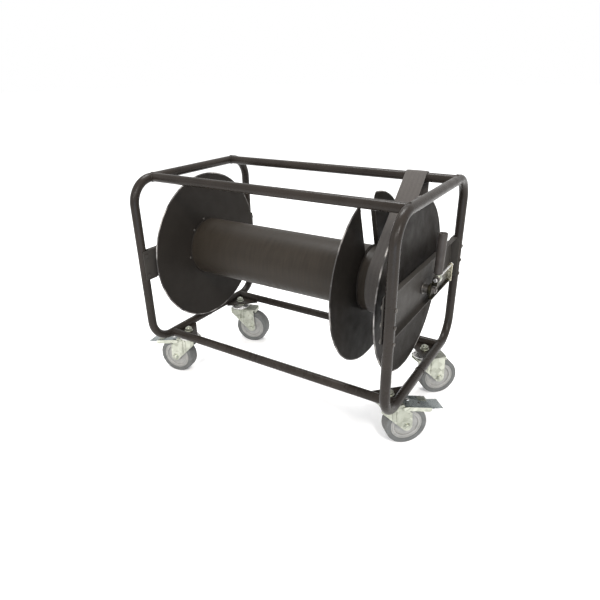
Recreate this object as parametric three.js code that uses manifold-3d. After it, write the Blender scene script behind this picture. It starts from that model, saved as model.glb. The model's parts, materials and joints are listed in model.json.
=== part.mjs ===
// Garden hose reel cart: a welded tube frame on four swivel casters carries a hose drum with a
// slotted partition, and a crank whose grip slides and folds turns the drum.
// Millimetres. +Z is up, +X runs along the drum axle to the crank, and the front is at -Y.
import * as THREE from "three";
import { mergeVertices } from "three/addons/utils/BufferGeometryUtils.js";
import Module from "manifold-3d";

const wasm = await Module();
wasm.setup();

// ---------------------------------------------------------------- driving dimensions
const gap = 0.3; // left between pieces that touch
const tube = { radius: 11, wall: 1.5, sides: 10, bendSteps: 4 };
const loop = { x: 333, halfDepth: 218, bottom: 136.5, top: 566.5, bend: 60, buttGap: 1 };
const railY = 152; // the rails meet the loops where the bends end
const axleZ = 352;

const crossbar = { web: 319.2, webEnd: 226, sheet: 2.5, lips: 333, tabs: 341, corner: 14 };
const crossbarHoles = { bearing: 11, bolt: 4 };
const crossbarReach = { left: { below: 34, above: 43 }, right: { below: 39, above: 64 } };
const crossbarBolts = { left: [-22, 30], right: [-34, 2, 39] }; // heights from the axle
const bearing = { inner: { left: 308, right: 297 }, body: 20, foot: 24, flange: 36, flangeThickness: 4 };

const gusset = { corner: 10.4, leg: 71.6, thickness: 4, rise: 2, stemHole: 5.5 };
const swivel = { x: 305, y: 118, trail: 41 };
const trailAngles = { front_left: 192, front_right: 44, back_left: 17, back_right: 44 };
const brakedCasters = ["front_left", "front_right"];
const stem = { radius: 5, top: 143.5, plate: 21.5, plateLow: 124.2, plateHigh: 127.2 };
const kingpin = { head: 9, headHeight: 4.5 };
const stemNut = { acrossFlats: 17, height: 8 };
const fork = { inner: 19.2, sheet: 2.8, crownBack: -26, crownLow: 109, crownHigh: 112, lipLow: 101 };
const forkLeg = { back: -24, backLow: 98, axleEnd: 12, arcFrom: 215, arcTo: 360 };
// the front of a fork: its legs' corners as [x, z] pairs, and how far its crown reaches
const brakedFront = { corners: [[51, 86], [33, 101]], crown: 30 };
const plainFront = { corners: [[51, 100], [51, 109]], crown: 56 };
const raceway = { radius: 27, edge: 117, topRadius: 20 };
const wheel = { radius: 50, halfTread: 17, shoulder: 6, inset: 2, rim: 38, boss: 14, halfBoss: 18.7 };
const wheelSides = 20;
const wheelBolt = { radius: 6, head: 9, headHeight: 5 };
const pedal = { pivotX: 22, pivotZ: 105.5, pin: 2.8, sheet: 2.2, skirt: 8 };
// the top lines of the pedal's three plates, as [x, z] pairs
const pedalNeck = { half: 18.4, top: [[19, 107], [46, 105]] };
const pedalCover = { half: 22.5, top: [[44, 105.2], [98, 94.2]] };
const pedalTip = { half: 18, top: [[88, 94.3], [101, 89.2], [128, 86]] };

const disc = { radius: 202, sheet: 2, rim: 4, bead: 1.5, sides: 30 };
const core = { radius: 77, wall: 2, plugDepth: 12, plugSheet: 3, hub: 22 };
const leftFlangeX = -304;
const partitionX = 193;
const rightFlangeX = 291;
const slot = { lean: 17.5, offset: 23, halfWidth: 34, lipDepth: 10, lipFoot: 3, corner: 14 };
const overcut = 20; // how far a cutting tool reaches past what it cuts

const axle = { radius: 10, left: -334, right: 336, stub: 5, stubEnd: 354 };
const collar = { radius: 13.5, width: 3 };
const crank = { plate: 341, sheet: 3, low: -17, high: 12, heel: -14, reach: 116, corner: 8, flange: 350 };
const crankHub = 14;
const crankNut = { acrossFlats: 15, height: 7 };
const ears = { edge: 353, top: 28, nearLow: 8.3, nearY: 2, farY: 113 };
const rod = { x: 348.5, z: 23, radius: 2.5, head: 4.5, start: -2, end: 121, nutHeight: 4 };
const carriage = { start: 5.5, end: 24.5, bore: 2.8, neck: 5.5, flange: 8, flangeWidth: 3.1 };
const knuckle = { start: 9, end: 21, bore: 5.8, radius: 9, spindle: 4, spindleEnd: 100 };
const grip = { foot: 12, end: 107, radius: 10, bore: 4.3, cap: 4, chamfer: 3, lean: 1.5 };

const strap = { width: 52, thickness: 3, clearance: 0.6, centreX: 238, tail: 150, wrapEnd: 270 };

const upX = new THREE.Vector3(1, 0, 0);
const upY = new THREE.Vector3(0, 1, 0);
const upZ = new THREE.Vector3(0, 0, 1);
const radians = THREE.MathUtils.degToRad;

// ---------------------------------------------------------------- materials
function look(color, roughness, metalness) {
  return () => new THREE.MeshStandardMaterial({ color, roughness, metalness });
}
const framePaint = look(0x3f3a37, 0.45, 0.3);
const drumPaint = look(0x45403b, 0.5, 0.3);
const zinc = look(0xb9bab0, 0.35, 0.9);
const yellowZinc = look(0xb59d5c, 0.35, 0.9);
const steel = look(0xa8a9aa, 0.3, 0.95);
const tyreRubber = look(0x77787a, 0.85, 0);
const hubPlastic = look(0xa5a5a2, 0.6, 0);
const gripPlastic = look(0x56493f, 0.5, 0);
const webbing = look(0x6d6660, 0.95, 0);

// ---------------------------------------------------------------- solids
// A closed geometry as a manifold solid: only corners are kept, and triangles with no area go.
function solid(geometry) {
  const bare = geometry.clone();
  bare.deleteAttribute("normal");
  bare.deleteAttribute("uv");
  const merged = mergeVertices(bare, 1e-4);
  const corners = merged.index.array;
  const triangles = [];
  for (let first = 0; first < corners.length; first += 3) {
    const triangle = [corners[first], corners[first + 1], corners[first + 2]];
    if (new Set(triangle).size === 3) triangles.push(...triangle);
  }
  return new wasm.Manifold(
    new wasm.Mesh({
      numProp: 3,
      vertProperties: new Float32Array(merged.attributes.position.array),
      triVerts: new Uint32Array(triangles),
    }),
  );
}

function geometryOf(body) {
  const mesh = body.getMesh();
  const shared = new THREE.BufferGeometry();
  shared.setAttribute("position", new THREE.BufferAttribute(mesh.vertProperties, 3));
  shared.setIndex(new THREE.BufferAttribute(mesh.triVerts, 1));
  const faceted = shared.toNonIndexed();
  faceted.computeVertexNormals();
  return faceted;
}

function join(first, ...others) {
  return geometryOf(others.reduce((sum, other) => sum.add(solid(other)), solid(first)));
}

function cut(first, ...others) {
  return geometryOf(others.reduce((rest, other) => rest.subtract(solid(other)), solid(first)));
}

function box(low, high) {
  const size = low.map((start, axis) => high[axis] - start);
  const middle = low.map((start, axis) => (start + high[axis]) / 2);
  return new THREE.BoxGeometry(...size).translate(...middle);
}

// A turned part. Its outline is a list of [radius, station] pairs, going round counterclockwise,
// which starts and ends on the axis or closes on itself.
function turned(outline, axis, segments = 16) {
  const points = outline.map(([radius, station]) => new THREE.Vector2(radius, station));
  if (outline[0][0] > 0) points.push(points[0].clone());
  const geometry = new THREE.LatheGeometry(points, segments, Math.PI / segments);
  return geometry.applyQuaternion(new THREE.Quaternion().setFromUnitVectors(upY, axis));
}

function bar(radius, from, to, axis, sides = 12) {
  return turned([[0, from], [radius, from], [radius, to], [0, to]], axis, sides);
}

function sleeve(bore, radius, from, to, axis, sides = 16) {
  return turned([[bore, from], [radius, from], [radius, to], [bore, to]], axis, sides);
}

function hexNut(acrossFlats, bore, from, to, axis) {
  const acrossCorners = acrossFlats / Math.cos(Math.PI / 6);
  return cut(bar(acrossCorners / 2, from, to, axis, 6), bar(bore, from - 1, to + 1, axis));
}

function outlineOf(points) {
  return new THREE.Shape(points.map(([u, v]) => new THREE.Vector2(u, v)));
}

function extruded(shape, depth, curveSegments) {
  return new THREE.ExtrudeGeometry(shape, { depth, bevelEnabled: false, curveSegments });
}

// A flat outline drawn in Y and Z, extruded along X.
function plateAlongX(shape, from, to, curveSegments = 6) {
  const geometry = extruded(shape, to - from, curveSegments);
  return geometry.rotateX(Math.PI / 2).rotateZ(Math.PI / 2).translate(from, 0, 0);
}

// A flat outline drawn in X and Z, extruded along Y.
function plateAlongY(shape, from, to, curveSegments = 6) {
  return extruded(shape, to - from, curveSegments).rotateX(Math.PI / 2).translate(0, to, 0);
}

// A flat outline drawn in X and Y, extruded along Z.
function plateAlongZ(shape, from, to, curveSegments = 6) {
  return extruded(shape, to - from, curveSegments).translate(0, 0, from);
}

function ringShape(outer, inner) {
  const shape = new THREE.Shape().absarc(0, 0, outer, 0, 2 * Math.PI, false);
  shape.holes.push(new THREE.Path().absarc(0, 0, inner, 0, 2 * Math.PI, true));
  return shape;
}

// ---------------------------------------------------------------- assembly
const cart = new THREE.Group();

function piece(name, geometry, finish, parent = cart) {
  const mesh = new THREE.Mesh(geometry, finish());
  mesh.name = name;
  parent.add(mesh);
  return mesh;
}

// ---------------------------------------------------------------- frame tubes
// A path through given stations: the ends of a tube's straight runs and the steps of its bends.
class BentPath extends THREE.Curve {
  constructor(stations) {
    super();
    this.stations = stations;
  }

  getPointAt(u, target = new THREE.Vector3()) {
    return target.copy(this.stations[Math.round(u * (this.stations.length - 1))]);
  }

  getTangentAt(u, target = new THREE.Vector3()) {
    const last = this.stations.length - 1;
    const index = Math.round(u * last);
    const before = this.stations[Math.max(index - 1, 0)];
    const after = this.stations[Math.min(index + 1, last)];
    return target.subVectors(after, before).normalize();
  }
}

// An end loop's centreline starts and ends at the butt joint in the middle of its bottom run.
function endLoopStations(x) {
  const bendY = loop.halfDepth - loop.bend;
  const corners = [
    { y: bendY, z: loop.bottom + loop.bend, from: -90 },
    { y: bendY, z: loop.top - loop.bend, from: 0 },
    { y: -bendY, z: loop.top - loop.bend, from: 90 },
    { y: -bendY, z: loop.bottom + loop.bend, from: 180 },
  ];
  const stations = [new THREE.Vector3(x, loop.buttGap / 2, loop.bottom)];
  for (const { y, z, from } of corners) {
    for (let step = 0; step <= tube.bendSteps; step++) {
      const angle = radians(from + (90 * step) / tube.bendSteps);
      const out = new THREE.Vector3(0, Math.cos(angle), Math.sin(angle)).multiplyScalar(loop.bend);
      stations.push(out.add(new THREE.Vector3(x, y, z)));
    }
  }
  stations.push(new THREE.Vector3(x, -loop.buttGap / 2, loop.bottom));
  return stations;
}

function endLoop(x) {
  const stations = endLoopStations(x);
  return new THREE.ExtrudeGeometry(ringShape(tube.radius, tube.radius - tube.wall), {
    steps: stations.length - 1,
    extrudePath: new BentPath(stations),
    curveSegments: tube.sides / 2,
  });
}

// A rail's ends are coped to fit round the loops' tubes.
function rail(y, z) {
  const hollow = plateAlongX(
    ringShape(tube.radius, tube.radius - tube.wall),
    -loop.x,
    loop.x,
    tube.sides / 2,
  ).translate(0, y, z);
  const reach = 2 * tube.radius;
  const copes = [-loop.x, loop.x].map((x) =>
    bar(tube.radius + gap, y - reach, y + reach, upY, 2 * tube.sides).translate(x, 0, z),
  );
  return cut(hollow, ...copes);
}

piece("left_end_loop", endLoop(-loop.x), framePaint);
piece("right_end_loop", endLoop(loop.x), framePaint);
piece("front_top_rail", rail(-railY, loop.top), framePaint);
piece("back_top_rail", rail(railY, loop.top), framePaint);
piece("front_bottom_rail", rail(-railY, loop.bottom), framePaint);
piece("back_bottom_rail", rail(railY, loop.bottom), framePaint);

// ---------------------------------------------------------------- crossbars and bearings
// A folded channel across an end loop, open outwards. Its web runs on behind the loop's uprights,
// where bolts go through both, and tabs close its ends.
function crossbarGeometry({ below, above }, boltHeights) {
  const low = axleZ - below;
  const high = axleZ + above;
  const endY = loop.halfDepth - tube.radius - gap;
  const { web, webEnd, sheet, lips, tabs, corner } = crossbar;
  const tab = outlineOf([
    [web, low],
    [tabs, low],
    [tabs, high - corner],
    [tabs - corner, high],
    [web, high],
  ]);
  const whole = join(
    box([web, -webEnd, low], [web + sheet, webEnd, high]),
    box([web, -endY, low], [lips, endY, low + sheet]),
    box([web, -endY, high - sheet], [lips, endY, high]),
    plateAlongY(tab, -endY, -endY + sheet),
    plateAlongY(tab, endY - sheet, endY),
  );
  const hole = (radius, y, z) => bar(radius, web - 1, lips, upX, 16).translate(0, y, z);
  const boltHoles = boltHeights.flatMap((z) =>
    [-loop.halfDepth, loop.halfDepth].map((y) => hole(crossbarHoles.bolt, y, axleZ + z)),
  );
  return cut(whole, hole(crossbarHoles.bearing, 0, axleZ), ...boltHoles);
}

function axleBearing(inner) {
  const { body, foot, flange, flangeThickness } = bearing;
  const seat = crossbar.web - gap;
  const bore = axle.radius + gap;
  const outline = [
    [bore, inner],
    [body, inner],
    [foot, seat - flangeThickness],
    [flange, seat - flangeThickness],
    [flange, seat],
    [bore, seat],
  ];
  return turned(outline, upX);
}

// Pieces that the two ends of the axle share are drawn for the right end.
const ends = { right: 0, left: Math.PI };
for (const [side, turn] of Object.entries(ends)) {
  const end = new THREE.Group();
  end.rotation.z = turn;
  cart.add(end);
  const channel = crossbarGeometry(crossbarReach[side], crossbarBolts[side]);
  piece(`${side}_crossbar`, channel, framePaint, end);
  piece(`${side}_axle_bearing`, axleBearing(bearing.inner[side]), steel, end).position.z = axleZ;
  const collarStart = crossbar.web + crossbar.sheet + gap;
  const collarRing = sleeve(axle.radius + gap, collar.radius, collarStart, collarStart + collar.width, upX);
  piece(`${side}_axle_collar`, collarRing, steel, end).position.z = axleZ;
}

// ---------------------------------------------------------------- casters
// A triangular plate fills a bottom corner of the frame and takes a caster's stem.
function gussetGeometry() {
  const low = loop.bottom - tube.radius + gusset.rise;
  const innerX = loop.x - gusset.corner;
  const innerY = railY - gusset.corner;
  const triangle = outlineOf([
    [innerX, innerY],
    [innerX - gusset.leg, innerY],
    [innerX, innerY - gusset.leg],
  ]);
  const hole = bar(gusset.stemHole, low - 1, low + gusset.thickness + 1, upZ);
  return cut(plateAlongZ(triangle, low, low + gusset.thickness), hole.translate(swivel.x, swivel.y, 0));
}

// The mirrored corners use the same outline with its points taken the other way round.
function mirrored(geometry, flipX, flipY) {
  const mesh = geometry.clone().scale(flipX, flipY, 1);
  if (flipX * flipY > 0) return mesh;
  const corners = mesh.attributes.position;
  const turnedRound = new Float32Array(corners.array.length);
  for (let index = 0; index < corners.count; index++) {
    const from = corners.count - 1 - index;
    turnedRound.set([corners.getX(from), corners.getY(from), corners.getZ(from)], 3 * index);
  }
  const result = new THREE.BufferGeometry();
  return result.setAttribute("position", new THREE.BufferAttribute(turnedRound, 3));
}

// The fixed top: a disc under the gusset, with the stem above it and the headed kingpin below.
function casterTop() {
  const outline = [
    [0, fork.crownLow - kingpin.headHeight],
    [kingpin.head, fork.crownLow - kingpin.headHeight],
    [kingpin.head, fork.crownLow - gap],
    [stem.radius, fork.crownLow - gap],
    [stem.radius, stem.plateLow],
    [stem.plate, stem.plateLow],
    [stem.plate, stem.plateHigh],
    [stem.radius, stem.plateHigh],
    [stem.radius, stem.top],
    [0, stem.top],
  ];
  return turned(outline, upZ, 12);
}

function stemNutGeometry() {
  const seat = loop.bottom - tube.radius + gusset.rise + gusset.thickness + gap;
  return hexNut(stemNut.acrossFlats, stem.radius + gap, seat, seat + stemNut.height, upZ);
}

// A pressed fork: a ball race over a crown plate, and two legs that taper down to the wheel bolt.
// A plain fork's crown has a lip folded down over the wheel, where a braked one has its pedal.
function forkGeometry(braked) {
  const { inner, sheet, crownBack, crownLow, crownHigh, lipLow } = fork;
  const front = braked ? brakedFront : plainFront;
  const { back, backLow, axleEnd, arcFrom, arcTo } = forkLeg;
  const outer = inner + sheet;
  const raceTop = stem.plateLow - gap;
  const raceOutline = [
    [0, crownLow],
    [raceway.radius, crownHigh],
    [raceway.radius, raceway.edge],
    [raceway.topRadius, raceTop],
    [0, raceTop],
  ];
  const leg = new THREE.Shape();
  leg.moveTo(back, crownHigh);
  leg.lineTo(back, backLow);
  leg.absarc(swivel.trail, wheel.radius, axleEnd, radians(arcFrom), radians(arcTo), false);
  for (const [x, z] of front.corners) leg.lineTo(x, z);
  leg.lineTo(front.corners.at(-1)[0], crownHigh);
  const pressings = [
    plateAlongY(leg, -outer, -inner, 4),
    plateAlongY(leg, inner, outer, 4),
    turned(raceOutline, upZ),
  ];
  if (!braked) pressings.push(box([front.crown - sheet, -inner, lipLow], [front.crown, inner, crownHigh]));
  const whole = join(box([crownBack, -outer, crownLow], [front.crown, outer, crownHigh]), ...pressings);
  const kingpinBore = bar(stem.radius + gap, crownLow - 1, raceTop + 1, upZ);
  const boltHole = bar(wheelBolt.radius + gap, -outer - 1, outer + 1, upY);
  const holes = [kingpinBore, boltHole.translate(swivel.trail, 0, wheel.radius)];
  if (braked) {
    const pinHole = bar(pedal.pin + gap, -outer - 1, outer + 1, upY);
    holes.push(pinHole.translate(pedal.pivotX, 0, pedal.pivotZ));
  }
  return cut(whole, ...holes);
}

function wheelBoltGeometry() {
  const { radius, head, headHeight } = wheelBolt;
  const seat = fork.inner + fork.sheet + gap;
  const outline = [
    [0, -seat - headHeight],
    [head, -seat - headHeight],
    [head, -seat],
    [radius, -seat],
    [radius, seat],
    [head, seat],
    [head, seat + headHeight],
    [0, seat + headHeight],
  ];
  return turned(outline, upY, 12).translate(swivel.trail, 0, wheel.radius);
}

function hubGeometry() {
  const { rim, boss, halfBoss, halfTread, inset } = wheel;
  const bore = wheelBolt.radius + gap;
  const rimSide = halfTread - inset;
  const outline = [
    [bore, -halfBoss],
    [boss, -halfBoss],
    [rim, -rimSide],
    [rim, rimSide],
    [boss, halfBoss],
    [bore, halfBoss],
  ];
  return turned(outline, upY, wheelSides).translate(swivel.trail, 0, wheel.radius);
}

// The tread's corners stand a little outside its radius, so that its flats are on it.
function tyreGeometry() {
  const { radius, rim, halfTread, shoulder, inset } = wheel;
  const tread = radius / Math.cos(Math.PI / wheelSides);
  const seat = rim + gap;
  const outline = [
    [seat, -halfTread + inset],
    [tread - shoulder, -halfTread],
    [tread, -halfTread + shoulder],
    [tread, halfTread - shoulder],
    [tread - shoulder, halfTread],
    [seat, halfTread - inset],
  ];
  return turned(outline, upY, wheelSides).translate(swivel.trail, 0, wheel.radius);
}

// A bent strip of the pedal's sheet under a top line.
function pedalStrip({ half, top }) {
  const underside = top.map(([x, z]) => [x, z - pedal.sheet]);
  return plateAlongY(outlineOf([...underside, ...[...top].reverse()]), -half, half);
}

// A foot pedal that hinges on a pin through the fork: a neck, a wide cover with folded skirts, and
// a tip plate.
function pedalGeometry() {
  const { pivotX, pivotZ, pin, sheet, skirt } = pedal;
  const { half, top } = pedalCover;
  const skirtOutline = outlineOf([...top, ...[...top].reverse().map(([x, z]) => [x, z - skirt])]);
  const halfPin = fork.inner + fork.sheet;
  return join(
    pedalStrip(pedalNeck),
    pedalStrip(pedalCover),
    pedalStrip(pedalTip),
    plateAlongY(skirtOutline, -half, sheet - half),
    plateAlongY(skirtOutline, half - sheet, half),
    bar(pin, -halfPin, halfPin, upY, 12).translate(pivotX, 0, pivotZ),
  );
}

const gussetPlate = gussetGeometry();
for (const [place, turn] of Object.entries(trailAngles)) {
  const flipX = place.endsWith("right") ? 1 : -1;
  const flipY = place.startsWith("back") ? 1 : -1;
  piece(`${place}_gusset`, mirrored(gussetPlate, flipX, flipY), framePaint);

  const caster = new THREE.Group();
  caster.position.set(flipX * swivel.x, flipY * swivel.y, 0);
  caster.rotation.z = radians(turn);
  cart.add(caster);
  const braked = brakedCasters.includes(place);
  piece(`${place}_caster_top`, casterTop(), zinc, caster);
  piece(`${place}_stem_nut`, stemNutGeometry(), zinc, caster);
  piece(`${place}_fork`, forkGeometry(braked), zinc, caster);
  piece(`${place}_wheel_bolt`, wheelBoltGeometry(), steel, caster);
  piece(`${place}_wheel_hub`, hubGeometry(), hubPlastic, caster);
  piece(`${place}_tyre`, tyreGeometry(), tyreRubber, caster);
  if (braked) piece(`${place}_brake_pedal`, pedalGeometry(), zinc, caster);
}

// ---------------------------------------------------------------- drum
const drum = new THREE.Group();
drum.position.z = axleZ;
cart.add(drum);

function discGeometry(bore, x) {
  const { radius, sheet, rim, bead, sides } = disc;
  const outline = [
    [bore, x],
    [radius - rim, x],
    [radius - rim, x - bead],
    [radius, x - bead],
    [radius, x + sheet + bead],
    [radius - rim, x + sheet + bead],
    [radius - rim, x + sheet],
    [bore, x + sheet],
  ];
  return turned(outline, upX, sides);
}

// The partition's slot has parallel sides from the core to the rim, where its corners are rounded.
function slotOutline() {
  const { offset, halfWidth, corner } = slot;
  const beyond = disc.radius + overcut;
  const left = offset - halfWidth;
  const right = offset + halfWidth;
  const heightOf = (centre) => Math.sqrt((disc.radius - corner) ** 2 - centre ** 2);
  const rightCentre = right + corner;
  const rightHeight = heightOf(rightCentre);
  const leftCentre = left - corner;
  const leftHeight = heightOf(leftCentre);
  const shape = new THREE.Shape();
  shape.moveTo(left, 0);
  shape.lineTo(right, 0);
  shape.absarc(rightCentre, rightHeight, corner, Math.PI, Math.atan2(rightHeight, rightCentre), true);
  shape.lineTo(rightCentre + corner, beyond);
  shape.lineTo(leftCentre - corner, beyond);
  shape.absarc(leftCentre, leftHeight, corner, Math.atan2(leftHeight, leftCentre), 0, true);
  return shape;
}

// A sheet disc with a slot, whose long edges are folded over towards the hose side.
function partitionGeometry() {
  const { sheet, radius } = disc;
  const { offset, halfWidth, lipDepth, lipFoot, corner, lean } = slot;
  const bore = core.radius + gap;
  const blank = discGeometry(bore, partitionX);
  const slotBlock = plateAlongX(slotOutline(), partitionX - overcut, partitionX + overcut, 4);
  const slotPrism = slotBlock.rotateX(radians(lean));
  const lips = [offset - halfWidth - sheet, offset + halfWidth].map((side) => {
    const start = Math.sqrt(bore ** 2 - side ** 2) + lipFoot;
    const end = Math.sqrt((radius - corner) ** 2 - (Math.abs(side) + corner) ** 2);
    const lip = box([partitionX - lipDepth, side, start], [partitionX + sheet, side + sheet, end]);
    return lip.rotateX(radians(lean));
  });
  return join(cut(blank, slotPrism), ...lips);
}

// A plug inside each end of the core carries the drum on its axle.
function corePlug(x, inward) {
  const { plugDepth, plugSheet, hub, radius, wall } = core;
  const rimRadius = radius - wall - gap;
  const bore = axle.radius + gap;
  const [low, high] = inward > 0 ? [x, x + plugDepth] : [x - plugDepth, x];
  const web = inward > 0 ? low + plugSheet : high - plugSheet;
  const outline =
    inward > 0
      ? [[bore, low], [rimRadius, low], [rimRadius, web], [hub, web], [hub, high], [bore, high]]
      : [[bore, low], [hub, low], [hub, web], [rimRadius, web], [rimRadius, high], [bore, high]];
  return turned(outline, upX, disc.sides);
}

const axleOutline = [
  [0, axle.left],
  [axle.radius, axle.left],
  [axle.radius, axle.right],
  [axle.stub, axle.right],
  [axle.stub, axle.stubEnd],
  [0, axle.stubEnd],
];
const coreStart = leftFlangeX + disc.sheet + gap;
const coreEnd = rightFlangeX - gap;
piece("drum_axle", turned(axleOutline, upX), steel, drum);
const coreTube = sleeve(core.radius - core.wall, core.radius, coreStart, coreEnd, upX, disc.sides);
piece("drum_core", coreTube, drumPaint, drum);
piece("left_flange", discGeometry(axle.radius + gap, leftFlangeX), drumPaint, drum);
piece("right_flange", discGeometry(axle.radius + gap, rightFlangeX), drumPaint, drum);
piece("slotted_partition", partitionGeometry(), drumPaint, drum);
piece("left_core_plug", corePlug(coreStart, 1), drumPaint, drum);
piece("right_core_plug", corePlug(coreEnd, -1), drumPaint, drum);

// ---------------------------------------------------------------- crank
// The arm is a folded plate with a stiffening flange below, a hub on the axle's stub and two ears
// that hold the slide rod.
function crankArmGeometry() {
  const { plate, sheet, low, high, heel, reach, corner, flange } = crank;
  const { edge, top, nearLow, nearY, farY } = ears;
  const side = new THREE.Shape();
  side.moveTo(heel, low);
  side.lineTo(reach, low);
  side.lineTo(reach, high);
  side.lineTo(heel + corner, high);
  side.absarc(heel + corner, high - corner, corner, radians(90), radians(180), false);
  const whole = join(
    plateAlongX(side, plate, plate + sheet, 3),
    box([plate, heel, low], [flange, reach, low + sheet]),
    box([plate, nearY, nearLow], [edge, nearY + sheet, top]),
    box([plate, farY, low], [edge, farY + sheet, top]),
    bar(crankHub, axle.right + gap, plate + 1, upX, 16),
  );
  const stubHole = bar(axle.stub + gap, axle.right - 1, plate + sheet + 1, upX);
  const rodHole = bar(rod.radius + gap, heel, reach + 5, upY, 12).translate(rod.x, 0, rod.z);
  return cut(whole, stubHole, rodHole);
}

function slideRodGeometry() {
  const headEnd = ears.nearY - gap;
  const outline = [
    [0, rod.start],
    [rod.head, rod.start],
    [rod.head, headEnd],
    [rod.radius, headEnd],
    [rod.radius, rod.end],
    [0, rod.end],
  ];
  return turned(outline, upY, 12).translate(rod.x, 0, rod.z);
}

function rodNutGeometry() {
  const seat = ears.farY + crank.sheet + gap;
  return sleeve(rod.radius + gap, rod.head, seat, seat + rod.nutHeight, upY, 12).translate(rod.x, 0, rod.z);
}

const nutSeat = crank.plate + crank.sheet + gap;
piece("crank_arm", crankArmGeometry(), yellowZinc, drum);
const nutEnd = nutSeat + crankNut.height;
const nutGeometry = hexNut(crankNut.acrossFlats, axle.stub + gap, nutSeat, nutEnd, upX);
piece("crank_nut", nutGeometry, yellowZinc, drum);
piece("crank_slide_rod", slideRodGeometry(), yellowZinc, drum);
piece("slide_rod_nut", rodNutGeometry(), yellowZinc, drum);

// The carriage slides on the rod, the knuckle folds about the carriage's neck, and the grip turns
// on the knuckle's spindle. They share an origin at the middle of the neck.
const handle = new THREE.Group();
handle.position.set(rod.x, (knuckle.start + knuckle.end) / 2, rod.z);
drum.add(handle);

function carriageGeometry() {
  const { start, end, bore, neck, flange, flangeWidth } = carriage;
  const middle = (knuckle.start + knuckle.end) / 2;
  const outline = [
    [bore, start],
    [flange, start],
    [flange, start + flangeWidth],
    [neck, start + flangeWidth],
    [neck, end - flangeWidth],
    [flange, end - flangeWidth],
    [flange, end],
    [bore, end],
  ];
  return turned(outline, upY, 12).translate(0, -middle, 0);
}

function knuckleGeometry() {
  const { start, end, bore, radius, spindle, spindleEnd } = knuckle;
  const half = (end - start) / 2;
  const shank = bar(spindle, (bore + radius) / 2, spindleEnd, upZ, 12).rotateY(radians(grip.lean));
  return join(sleeve(bore, radius, -half, half, upY), shank);
}

function gripGeometry() {
  const { foot, end, radius, bore, cap, chamfer } = grip;
  const outline = [
    [bore, foot],
    [radius - 1, foot],
    [radius, foot + chamfer],
    [radius, end - chamfer],
    [radius - chamfer, end],
    [0, end],
  ];
  const inside = [[bore, foot], [bore, end - cap], [0, end - cap]];
  const profile = [...inside.reverse(), ...outline.slice(1)];
  return turned(profile, upZ).rotateY(radians(grip.lean));
}

piece("grip_carriage", carriageGeometry(), zinc, handle);
piece("grip_knuckle", knuckleGeometry(), zinc, handle);
piece("crank_grip", gripGeometry(), gripPlastic, handle);

// ---------------------------------------------------------------- hold-down strap
// The strap hangs over the back top rail. Its short end hangs straight down behind the rail, and
// its long end runs straight to the core and wraps the core's front.
function strapOutline() {
  const railHeight = loop.top - axleZ;
  const railRadius = tube.radius + strap.clearance;
  const coreRadius = core.radius + strap.clearance;
  const span = Math.hypot(railY, railHeight);
  const rise = Math.atan2(railHeight, railY);
  const leave = rise + Math.acos((coreRadius - railRadius) / span);
  const wrapEnd = radians(strap.wrapEnd);
  // An arc's inner corners stand out a little, so that its flats clear the round thing inside.
  const arc = (y, z, radius, from, to, steps) =>
    Array.from({ length: steps + 1 }, (unused, step) => {
      const angle = from + ((to - from) * step) / steps;
      const inner = step > 0 && step < steps;
      const reach = inner ? radius / Math.cos((to - from) / steps / 2) : radius;
      return [y + reach * Math.cos(angle), z + reach * Math.sin(angle)];
    });
  const face = (offset) => [
    [railY + railRadius + offset, railHeight - strap.tail],
    ...arc(railY, railHeight, railRadius + offset, 0, leave, 6),
    ...arc(0, 0, coreRadius + offset, leave, wrapEnd, 10),
  ];
  return outlineOf([...face(strap.thickness), ...face(0).reverse()]);
}

const strapStart = strap.centreX - strap.width / 2;
const strapBody = plateAlongX(strapOutline(), strapStart, strapStart + strap.width);
piece("hold_strap", strapBody, webbing).position.z = axleZ;

// ---------------------------------------------------------------- origin
// The object stands on Z = 0, with the middle of its box over the origin.
const extent = new THREE.Box3().setFromObject(cart, true);
const middle = extent.getCenter(new THREE.Vector3());
cart.position.set(-middle.x, -middle.y, -extent.min.z);

const assembly = new THREE.Group();
assembly.add(cart);
export default assembly;
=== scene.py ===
"""The looks of a hose reel cart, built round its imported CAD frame.

Lengths are in millimetres in the row frame, and become metres when a piece is made.
"""

import json
import math
import random

import bmesh
import bpy
from mathutils import Matrix, Vector

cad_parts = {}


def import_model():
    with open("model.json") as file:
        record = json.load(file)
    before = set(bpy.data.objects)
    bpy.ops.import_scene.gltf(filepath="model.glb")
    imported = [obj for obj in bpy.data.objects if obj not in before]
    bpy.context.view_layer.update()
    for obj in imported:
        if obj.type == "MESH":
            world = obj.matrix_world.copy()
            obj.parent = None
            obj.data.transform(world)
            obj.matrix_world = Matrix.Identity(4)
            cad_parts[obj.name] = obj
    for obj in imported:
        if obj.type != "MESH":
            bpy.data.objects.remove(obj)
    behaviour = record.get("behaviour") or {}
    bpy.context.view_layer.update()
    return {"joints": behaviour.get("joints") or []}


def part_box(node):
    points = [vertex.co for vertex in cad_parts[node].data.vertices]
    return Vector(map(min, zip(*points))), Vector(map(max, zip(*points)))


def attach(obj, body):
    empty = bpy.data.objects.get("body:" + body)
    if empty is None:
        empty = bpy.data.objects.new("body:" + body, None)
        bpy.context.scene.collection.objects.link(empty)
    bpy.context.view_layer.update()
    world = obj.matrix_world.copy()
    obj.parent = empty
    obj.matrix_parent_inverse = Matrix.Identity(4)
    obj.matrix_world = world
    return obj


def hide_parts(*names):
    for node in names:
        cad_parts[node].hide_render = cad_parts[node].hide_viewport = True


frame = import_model()
joints = {joint["name"]: joint for joint in frame["joints"]}

MM = 0.001
X, Y, Z = Vector((1, 0, 0)), Vector((0, 1, 0)), Vector((0, 0, 1))


# ---------------------------------------------------------------- places from the frame
def corners(node):
    """The lowest and highest corner of a CAD node, in millimetres."""
    low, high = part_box(node)
    return low / MM, high / MM


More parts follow.
